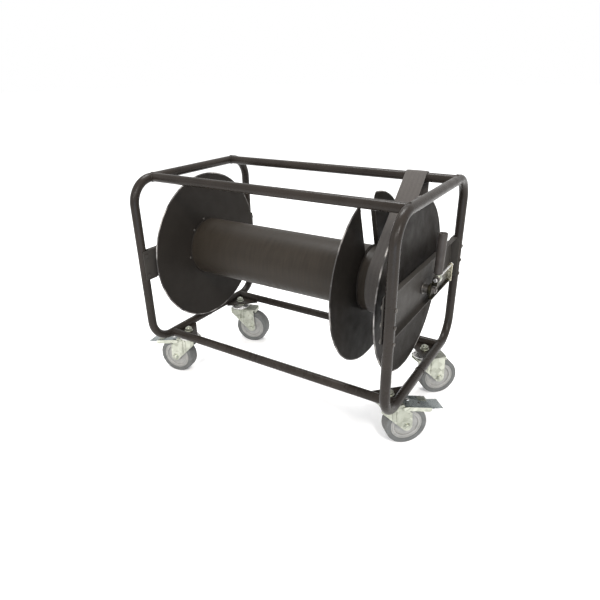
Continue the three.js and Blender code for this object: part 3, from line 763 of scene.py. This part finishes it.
def crank_arm():
    """A folded bracket: side plate, stiffening flange, two ears for the rod, and a welded hub."""
    shape = Shape()
    plate = [(-14, -17), *arc((108, -9), 8, -90, 0, 5), (116, 12), *arc((-6, 4), 8, 90, 180, 6)]
    shape.add(*flat_piece(plate, 341, 344, "X"))
    shape.add(*flat_piece([(341, -17), (350, -17), (350, -14), (344, -14), (341, -14)], -14, 116, "Y"))
    for start, foot in ((2, 8.3), (113, -17)):
        ear = [(341, foot), (353, foot), *arc((ROD_X, ROD_Z), 4.6, 0, 90, 5), (345, 27.6), (341, 20)]
        # The far ear gets the lighter copy of the plating (painted light), the rest of the bracket the darker
        # copy (painted shade).
        shape.add(*flat_piece(ear, start, start + 3, "Y"), int(start > NECK_Y))
    hub = [(5.3, 336.3), (13, 336.3), (14, 337.3), (14, 341), (5.3, 341)]
    shape.add(lathe(hub, 40, closed=True), SPOOL)
    turn = steps_to(2 * math.pi, 60)[:-1]
    shape.add(weld_bead([(14 * math.cos(a), 14 * math.sin(a), 341) for a in turn], 1.2, 4), SPOOL)
    shape.make("crank_bracket", "drum", [SHADED_YELLOW_PLATE, LIT_YELLOW_PLATE], "yellow_zinc", ["crank_arm"], bevel=0.5)

    nut = Shape().add(extrude(hexagon(15), 345.6, 351.5), SPOOL)
    nut.add(lathe([(5.2, 344.3), (9.5, 344.3), (9.5, 345.6), (5.2, 345.6)], 32, closed=True), SPOOL)
    nut.make("crank_hex_nut", "drum", [DULL_STEEL], "yellow_zinc", ["crank_nut"], bevel=0.5)

    slide = DRUM @ Matrix.Translation((ROD_X, 0, ROD_Z)) @ basis(Z, X)
    rod = [(0, -2), (3.6, -2), (4.5, -1), (4.5, 1.7), (2.5, 1.7), (2.5, 120.4), (2, 121), (0, 121)]
    bar = Shape().add(lathe(rod, 32), slide)
    bar.make("slide_rod_bar", "drum", [STEEL], "yellow_zinc", ["crank_slide_rod"])
    lock = Shape().add(extrude(hexagon(8.6), 116.3, 120.3), slide)
    lock.make("slide_rod_lock_nut", "drum", [STEEL], "yellow_zinc", ["slide_rod_nut"], bevel=0.4)


def crank_handle():
    hand = DRUM @ Matrix.Translation((ROD_X, NECK_Y, ROD_Z))
    across = hand @ basis(Z, X)
    leaning = hand @ Matrix.Rotation(LEAN, 4, "Y")
    reel = [(2.8, -9.5), (7, -9.5), (8, -8.5), (8, -6.4), (5.5, -6.4)]
    reel += [(radius, -height) for radius, height in reversed(reel)]
    Shape().add(lathe(reel, 40, closed=True), across).make(
        "carriage_spool", "carriage", [DULL_STEEL], "zinc_plate", ["grip_carriage"]
    )
    eye = [(5.8, -6), (8, -6), (9, -5), (9, 5), (8, 6), (5.8, 6)]
    knuckle = Shape().add(lathe(eye, 40, closed=True), across)
    pin = [(0, 7.4), (6.2, 7.6), (6.6, 9), (4.4, 11.5), (4, 12), (4, 100), (0, 100)]
    knuckle.add(lathe(pin, 32), leaning)
    knuckle.make("knuckle_eye", "knuckle", [ZINC], "zinc_plate", ["grip_knuckle"])
    handle = [(4.3, 12), (8.6, 12), *arc((8.6, 13.4), 1.4, -60, 0, 3), (9.4, 18), (9.8, 40), (10, 70)]
    handle += [(10, 95), *arc((8.6, 103.6), 1.4, 0, 90, 5)]
    handle += [(7.4, 104.6), (6.6, 103.8), (4.6, 103.8), (4, 105)]
    handle += [*arc((2.4, 105), 1.6, 0, 90, 4), (0, 106.6)]
    handle += [(0, 103), (4.3, 103)]
    Shape().add(lathe(handle, 48, closed=True), leaning).make(
        "grip_handle", "grip", [GRIP], "grip_plastic", ["crank_grip"], sharp=28
    )


crank_arm()
crank_handle()

# ---------------------------------------------------------------- strap
STRAP_WIDTH = 52
STRAP_THICKNESS = 2.6
STRAP_TAIL = 150
STRAP_CLEAR = 0.7
STRAP_AT_RAIL, STRAP_AT_CORE = 235.5, 242.0


def strap_line():
    """The strap's inner face in Y and Z, from its hanging tail over the rail to the core."""
    height = LOOP_TOP - AXLE_Z
    rail_reach, core_reach = TUBE + STRAP_CLEAR, CORE_RADIUS + STRAP_CLEAR
    span = math.hypot(RAIL_Y, height)
    leave = math.degrees(math.atan2(height, RAIL_Y) + math.acos((core_reach - rail_reach) / span))
    tail = [(RAIL_Y + rail_reach, height - STRAP_TAIL * (1 - i / 30)) for i in range(30)]
    over = arc((RAIL_Y, height), rail_reach, 0, leave, 14)
    wrap = arc((0, 0), core_reach, leave, 270, 40)
    (ya, za), (yb, zb) = over[-1], wrap[0]
    run = [(ya + (yb - ya) * i / 50, za + (zb - za) * i / 50) for i in range(1, 50)]
    return tail, over, run, wrap


def strap():
    tail, over, run, wrap = strap_line()
    line = [Vector((0, y, z)) for y, z in [*tail, *over, *run, *wrap]]
    rows, columns = len(line), 26
    drift_start, drift_end = len(tail) + len(over), len(tail) + len(over) + len(run)
    travelled, points, uvs = 0.0, [], []
    for i, point in enumerate(line):
        tangent = (line[min(i + 1, rows - 1)] - line[max(i - 1, 0)]).normalized()
        inward = X.cross(tangent)
        travelled += (point - line[i - 1]).length if i else 0
        share = min(max((i - drift_start) / (drift_end - drift_start), 0), 1)
        middle = STRAP_AT_RAIL + (STRAP_AT_CORE - STRAP_AT_RAIL) * share
        for k in range(columns + 1):
            part = k / columns * 2 - 1
            ripple = 0.35 * math.sin(travelled / 23 + part) * (1 - abs(part)) + 0.35 * part**4
            for layer in (0, 1):
                lift = ripple * (0.4 + 0.6 * layer) + layer * STRAP_THICKNESS * (1 - 0.35 * part**8)
                across = middle + part * STRAP_WIDTH / 2
                points.append(DRUM @ (point - inward * lift + X * across))
                uvs.append((across, travelled))
    per_row = 2 * (columns + 1)
    around = [2 * k for k in range(columns + 1)] + [2 * k + 1 for k in range(columns, -1, -1)]
    faces = []
    for i in range(rows - 1):
        first = [i * per_row + k for k in around]
        faces += bridge(first, [k + per_row for k in first])
    for start in (0, (rows - 1) * per_row):
        quads = [start + 2 * k for k in range(columns)]
        faces += [[first, first + 1, first + 3, first + 2] for first in quads]
    shape = Shape().add((points, faces))
    piece = shape.make("hold_strap_webbing", "frame", [WEBBING], "webbing", ["hold_strap"], sharp=80)
    layer = piece.data.uv_layers.new(name="weave")
    for loop in piece.data.loops:
        layer.data[loop.index].uv = uvs[loop.vertex_index]


strap()

# ---------------------------------------------------------------- casters
WHEEL_RADIUS = 50
BRAKED = ("front_left", "front_right")


def caster_frame(place):
    """A caster's own frame: its origin is on the floor under the swivel, and X runs along the trail."""
    pin, hub = joint_place(f"{place}_swivel_turn"), joint_place(f"{place}_wheel_spin")
    trail = (hub - pin) * Vector((1, 1, 0))
    u = trail.normalized()
    return basis(u, Z.cross(u), (pin.x, pin.y, 0)), trail.length


def gusset(place):
    low, high = corners(f"{place}_gusset")
    sign_x = 1 if place.endswith("right") else -1
    sign_y = 1 if place.startswith("back") else -1
    outer_x = high.x if sign_x > 0 else low.x
    outer_y = high.y if sign_y > 0 else low.y
    leg = high.x - low.x
    outline = [(0, 0), (-leg + 4, 0), (-leg + 1, 3), (-3, leg - 1), (0, leg - 4)]
    outline = [(outer_x + sign_x * u, outer_y - sign_y * abs(v)) for u, v in outline]
    shape = Shape().add(extrude(outline, low.z, high.z))
    bead_z = (low.z + high.z) / 2
    bead_z += BEAD_RISE
    spots = [leg * i / BEAD_STEPS for i in range(1, BEAD_STEPS)]
    along_x = [(outer_x - sign_x * spot, outer_y + sign_y * BEAD_OUT, bead_z) for spot in spots]
    along_y = [(outer_x + sign_x * BEAD_OUT, outer_y - sign_y * spot, bead_z) for spot in spots]
    shape.add(weld_bead(along_x, 1.5, 11, closed=False)).add(weld_bead(along_y, 1.5, 12, closed=False))
    shape.make(f"{place}_gusset_plate", "frame", [FRAME_PAINT], "frame_paint", [f"{place}_gusset"], bevel=0.6)


def caster_top(place, frame_matrix):
    """The fixed cover under the gusset, its threaded stem and the kingpin's head under the crown."""
    outline = [(0, 104.6), (6, 104.6), (9, 106.2), (9, 108.4), (5, 108.6)]
    outline += [(5, 124.2), (19.6, 124.2), (COVER_RADIUS, 125)]
    outline += [(COVER_RADIUS, 126.6), (20.8, 127.2), (5, 127.2), (5, 142.8), (4.2, 143.5), (0, 143.5)]
    shape = Shape().add(lathe(outline, 48), frame_matrix)
    for i in range(5):
        ridge = arc((4.9, 133.5 + 2.1 * i), 0.55, 0, 300, 5)
        shape.add(lathe(ridge, 32, closed=True), frame_matrix)
    shape.make(f"{place}_caster_cover", "frame", [ZINC], "zinc_plate", [f"{place}_caster_top"])
    nut = Shape().add(extrude(hexagon(17), 133.4, 139.8), frame_matrix @ Matrix.Rotation(0.4, 4, "Z"))
    nut.add(lathe([(5.4, 131.8), (11.5, 131.8), (11.5, 133.4), (5.4, 133.4)], 36, closed=True), frame_matrix)
    nut.make(f"{place}_stem_hex_nut", "frame", [ZINC], "zinc_plate", [f"{place}_stem_nut"], bevel=0.6)


FORK_FRONT = {True: ((51, 86), (33, 101), (30, 111)), False: ((51, 100), (50, 111))}
FORK_RIBS = ((4, 74, 107), (14, 66, 107))


def fork_leg(trail, braked):
    outline = [(-24, 111), (-24, 98), *arc((trail, WHEEL_RADIUS), 12, 215, 360, 16)]
    return [*outline, *FORK_FRONT[braked]]


def fork(place, frame_matrix, trail):
    """A pressed fork: a ball race on a rolled crown, and two ribbed legs that taper to the axle."""
    braked = place in BRAKED
    shape = Shape()
    side = frame_matrix @ basis(X, -Z)
    for sign in (-1, 1):
        outline = [(u, -v) for u, v in fork_leg(trail, braked)]
        shape.add(extrude(outline, 20.6 * sign - 1.4, 20.6 * sign + 1.4), side)
        for x, low, high in FORK_RIBS:
            rib = [(x, sign * 21.7, low), (x, sign * 21.9, low + 4), (x, sign * 21.9, high)]
            shape.add(sweep(rib, [1.0, 2.6, 2.6], 12), frame_matrix)
    front = 30 if braked else 56
    crown = [(u + (front - 26) / 2, v) for u, v in rounded_box(front + 26, 44, 5)]
    shape.add(extrude(crown, 109, 112), frame_matrix)
    if not braked:
        lip = rounded_box(38, 12, 3)
        shape.add(extrude([(u, v + 106) for u, v in lip], 53.5, 56), frame_matrix @ basis(Y, Z))
    bowl = [(8, 112), (25, 112), *arc((25, 115), 3, -80, 60, 6), (21.5, 120.2), (20.5, 121.4), (8, 121.4)]
    shape.add(lathe(bowl, 56, closed=True), frame_matrix, 2)
    # A near-black ring in the gap between the race's bowl and the cover: painted shade.
    shape.add(lathe([(7, 121), (18.8, 121), (18.8, 123.9), (7, 123.9)], 40, closed=True), frame_matrix, 1)
    shape.make(
        f"{place}_fork_pressing",
        f"{place}_swivel",
        [ZINC, GAP_SHADE, STEEL],
        "zinc_plate",
        [f"{place}_fork"],
        bevel=0.5,
    )


def wheel(place, frame_matrix, trail):
    axis = frame_matrix @ Matrix.Translation((trail, 0, WHEEL_RADIUS)) @ basis(Z, X)
    half = [(38.3, -15.4), (42, -16.6), *arc((45.6, -12.6), 4.4, -88, 0, 6), (50, -6)]
    tread = [*half, *[(radius, -height) for radius, height in reversed(half)]]
    Shape().add(lathe(tread, 72, closed=True), axis).make(
        f"{place}_tyre_ring", f"{place}_wheel", [TYRE], "tyre_rubber", [f"{place}_tyre"], sharp=30
    )
    face = [(6.4, -18.6), (13.2, -18.6), (14, -17.8), (14.6, -12), (16, -10.4), (24, -9.8), (28.6, -11)]
    face += [(29.6, -13.8), (30.6, -14.6), (33.4, -14.6), (34, -13.6)]
    face += [(35, -13.6), (35.6, -14.8), (37.6, -14.8)]
    face += [(38.2, -14)]
    section = [*face, *[(radius, -height) for radius, height in reversed(face)]]
    Shape().add(lathe(section, 72, closed=True), axis).make(
        f"{place}_hub_disc", f"{place}_wheel", [HUB], "hub_plastic", [f"{place}_wheel_hub"], sharp=30
    )
    bolt = Shape().add(lathe([(0, -27), (6, -27), (6, 27), (0, 27)], 32), axis)
    for sign in (-1, 1):
        out = axis @ Matrix.Diagonal((1, 1, sign, 1)) @ Matrix.Translation((0, 0, 22.1))
        bolt.add(lathe([(6, 0), (9, 0), (9, 1.4), (6, 1.4)], 36, closed=True), out)
        bolt.add(dome(7.2, 5.0, 0.6), out)
    bolt.make(f"{place}_axle_bolt", f"{place}_swivel", [ZINC], "bright_steel", [f"{place}_wheel_bolt"])


def pedal(place, frame_matrix):
    """A pressed foot pedal: a neck on the pin, a wide cover with folded skirts, and a thin tip plate."""
    shape = Shape()
    side = frame_matrix @ basis(X, -Z)
    neck = [(19, 107), (46, 105.2), (46, 103), (19, 104.8)]
    cover = [(43, 105.5), (98, 94.3), (98, 92.1), (43, 103.3)]
    tip = [(88, 93.8), (101, 89.2), (126, 86.2), (128.4, 84.6)]
    tip += [(128.4, 82.8), (125.8, 84.2), (100.6, 87.0), (88, 91.8)]
    for outline, half, finish in ((neck, 18.4, 1), (cover, 24, 1), (tip, 18, 1)):
        shape.add(extrude([(u, -v) for u, v in outline], -half, half), side, finish)
    skirt = [(26, 106.2), (43, 105.3), (97, 94.2), (97, 85.6), (92, 84.2), (60, 91.2), (26, 97.6)]
    for low, high in ((-24.2, -22.3), (22.3, 24.2)):
        shape.add(extrude([(u, -v) for u, v in skirt], low, high), side)
    for i in range(6):
        ridge = [(76 + 3.4 * i, 98.6 - 0.69 * i), (77.6 + 3.4 * i, 98.3 - 0.69 * i)]
        ridge += [(u, v + 1.4) for u, v in reversed(ridge)]
        shape.add(extrude([(u, -v) for u, v in ridge], 2, 20), side)
    across = frame_matrix @ Matrix.Translation((22, 0, 105.5)) @ basis(Z, X)
    shape.add(lathe([(0, -22), (2.8, -22), (2.8, 22), (0, 22)], 24), across)
    shape.add(dome(4.4, 2.6), frame_matrix @ Matrix.Translation((48, 6, 103.8)), 2)
    # A small near-black disc on the pedal cover: painted shade.
    shape.add(dome(4.0, 1.0), frame_matrix @ Matrix.Translation((70, -5, 99.2)), 3)
    shape.make(
        f"{place}_foot_pedal",
        f"{place}_pedal",
        [ZINC, PEDAL_STEEL, STEEL, GAP_SHADE],
        "zinc_plate",
        [f"{place}_brake_pedal"],
        bevel=0.4,
    )


for caster_place in PLACES:
    caster_matrix, caster_trail = caster_frame(caster_place)
    gusset(caster_place)
    caster_top(caster_place, caster_matrix)
    fork(caster_place, caster_matrix, caster_trail)
    wheel(caster_place, caster_matrix, caster_trail)
    if caster_place in BRAKED:
        pedal(caster_place, caster_matrix)

# ---------------------------------------------------------------- floor, light and camera
CAMERA = {"azimuth": 32.26, "elevation": 24.36, "roll": -0.91, "unit": 0.430}
CAMERA |= {"right": -0.0038, "up": -0.2167, "distance": 2.9803, "lens": 30.12}


def matte(name, colour, roughness=0.9):
    made = Recipe(name, roughness=roughness)
    made.shader.inputs["Base Color"].default_value = (*colour, 1)
    made.shader.inputs["Specular IOR Level"].default_value = 0.1
    made.shader.inputs["Emission Color"].default_value = (*colour, 1)
    made.shader.inputs["Emission Strength"].default_value = 0.11
    return made.material


def floor():
    mesh = bpy.data.meshes.new("floor")
    half = 30
    square = [(-half, -half, 0), (half, -half, 0), (half, half, 0), (-half, half, 0)]
    mesh.from_pydata(square, [], [(0, 1, 2, 3)])
    mesh.materials.append(matte("floor_white", (0.93, 0.93, 0.93)))
    piece = bpy.data.objects.new("floor", mesh)
    bpy.context.scene.collection.objects.link(piece)


def area_light(name, place, aim, size, power, colour=(1, 1, 1)):
    lamp = bpy.data.lights.new(name, "AREA")
    lamp.shape = "RECTANGLE"
    lamp.size, lamp.size_y = size
    lamp.energy = power
    lamp.color = colour
    made = bpy.data.objects.new(name, lamp)
    bpy.context.scene.collection.objects.link(made)
    made.location = place
    made.rotation_euler = (Vector(aim) - Vector(place)).to_track_quat("-Z", "Y").to_euler()


def camera():
    azimuth, elevation = math.radians(CAMERA["azimuth"]), math.radians(CAMERA["elevation"])
    level = math.cos(elevation)
    back = Vector((math.sin(azimuth) * level, -math.cos(azimuth) * level, math.sin(elevation)))
    right = Z.cross(back).normalized()
    up = back.cross(right)
    roll = math.radians(CAMERA["roll"])
    right, up = math.cos(roll) * right + math.sin(roll) * up, math.cos(roll) * up - math.sin(roll) * right
    middle = Vector((CART_X, 0, (LOOP_BOTTOM + LOOP_TOP) / 2)) * MM
    offset = back * CAMERA["distance"] + up * CAMERA["up"] + right * CAMERA["right"]
    place = middle + CAMERA["unit"] * offset
    lens = bpy.data.cameras.new("camera")
    lens.lens = CAMERA["lens"]
    lens.sensor_width = 36
    made = bpy.data.objects.new("camera", lens)
    made.matrix_world = basis(right, up, place)
    bpy.context.scene.collection.objects.link(made)
    bpy.context.scene.camera = made


def world():
    made = bpy.data.worlds.new("studio")
    bpy.context.scene.world = made
    made.use_nodes = True
    background = made.node_tree.nodes["Background"]
    background.inputs["Color"].default_value = (1, 1, 1, 1)
    background.inputs["Strength"].default_value = 1.0


floor()
world()
area_light("key", (2.6, -2.2, 3.0), (0.1, 0, 0.3), (0.8, 0.8), 110, (1.0, 0.96, 0.92))
area_light("front", (0.7, -3.4, 2.4), (0.25, 0, 0.35), (0.5, 1.0), 60, (1.0, 0.97, 0.94))
area_light("fill", (-3.0, -2.4, 1.8), (0, 0, 0.3), (2.0, 2.0), 10)
area_light("low_blue", (1.3, -1.7, 0.25), (0.25, 0, 0.15), (1.6, 0.4), 9, (0.42, 0.66, 1.0))
area_light("top", (-0.4, 0.8, 3.2), (0, 0, 0.3), (1.6, 0.8), 90)
camera()
bpy.context.scene.view_settings.view_transform = "Standard"
